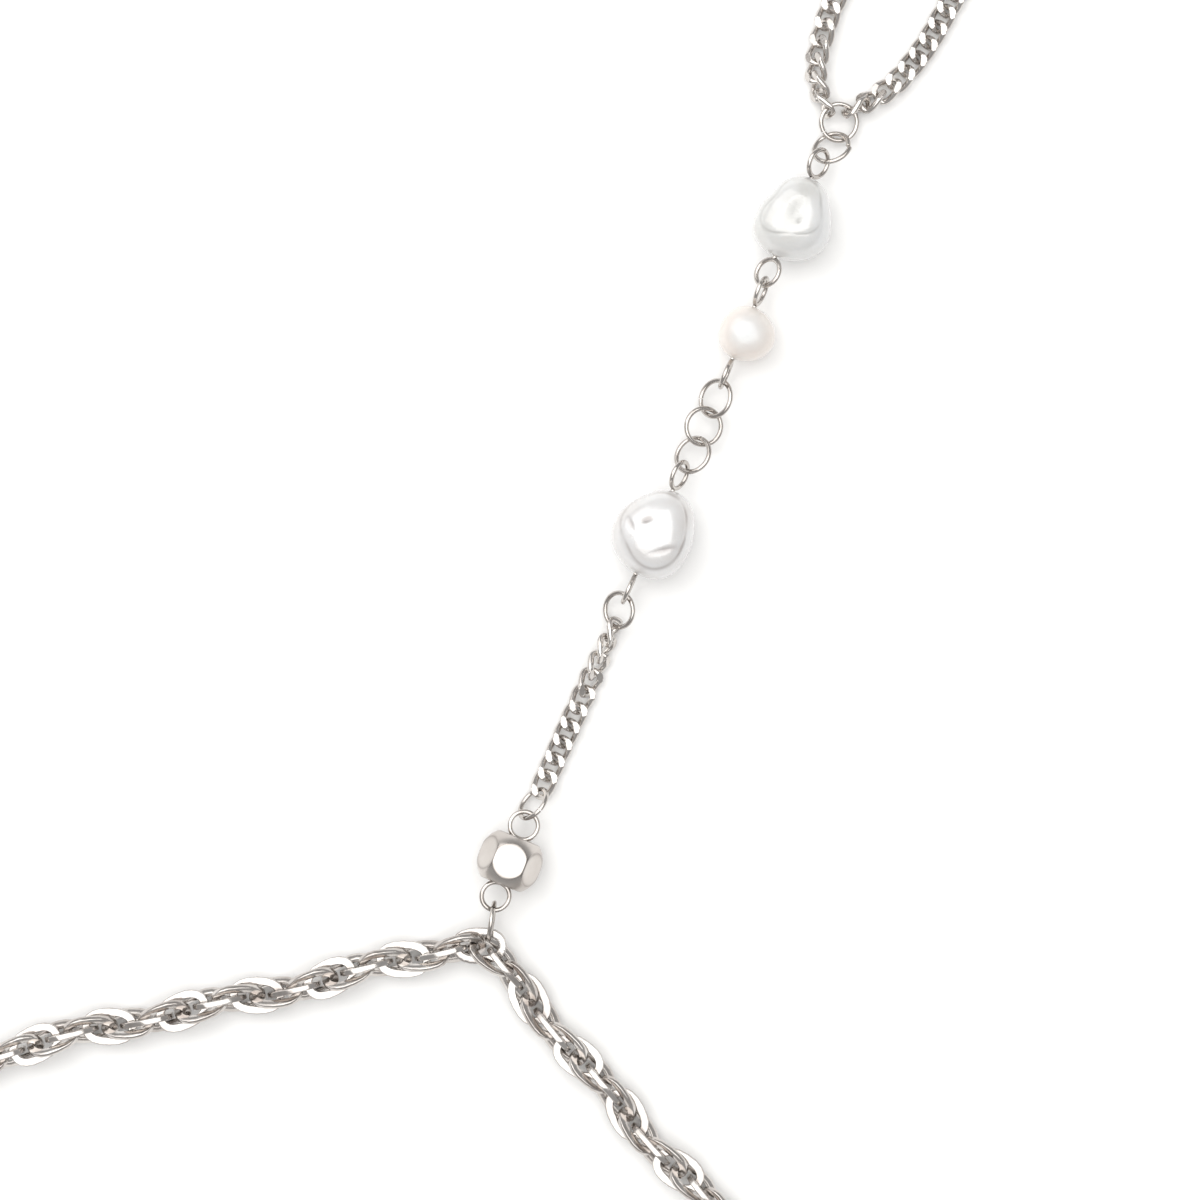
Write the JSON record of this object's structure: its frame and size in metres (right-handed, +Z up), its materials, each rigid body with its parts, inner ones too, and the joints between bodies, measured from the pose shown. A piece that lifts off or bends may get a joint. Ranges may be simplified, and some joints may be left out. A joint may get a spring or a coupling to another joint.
{
  "type": "hand chain bracelet",
  "caption": "Hand chain bracelet: a rope chain wrist loop and a curb chain finger loop, joined by a strand of baroque pearls, a faceted metal bead, curb chain and wire rings.",
  "frame": {"origin": "middle of the bracelet's bounding box, on the flat surface that it lies on", "axes": "+Y from the wrist loop to the finger loop, +X to the right seen from above, +Z up from the surface"},
  "size_m": [0.1152, 0.1608, 0.007],
  "materials": {
    "rope_chain": "polished flat wire",
    "curb_chain": "polished, cut flats",
    "wire": "polished round wire",
    "metal_bead": "polished facets",
    "clasp": "polished",
    "white_pearl": "glossy nacre",
    "cream_pearl": "glossy nacre"
  },
  "bodies": {
    "root": {"wrist_chain": "rope_chain", "clasp": "clasp", "clasp_ring_left": "wire", "clasp_ring_right": "wire", "bead_ring_low": "wire", "metal_bead": "metal_bead", "bead_pin": "wire", "bead_ring_high": "wire", "strand_chain": "curb_chain", "strand_ring": "wire", "lower_pearl": "white_pearl", "lower_pearl_pin": "wire", "link_ring_a": "wire", "link_ring_b": "wire", "link_ring_c": "wire", "small_pearl": "cream_pearl", "small_pearl_pin": "wire", "upper_pearl": "white_pearl", "upper_pearl_pin": "wire", "finger_ring_low": "wire", "finger_ring_high": "wire", "finger_chain": "curb_chain"}
  },
  "joints": []
}
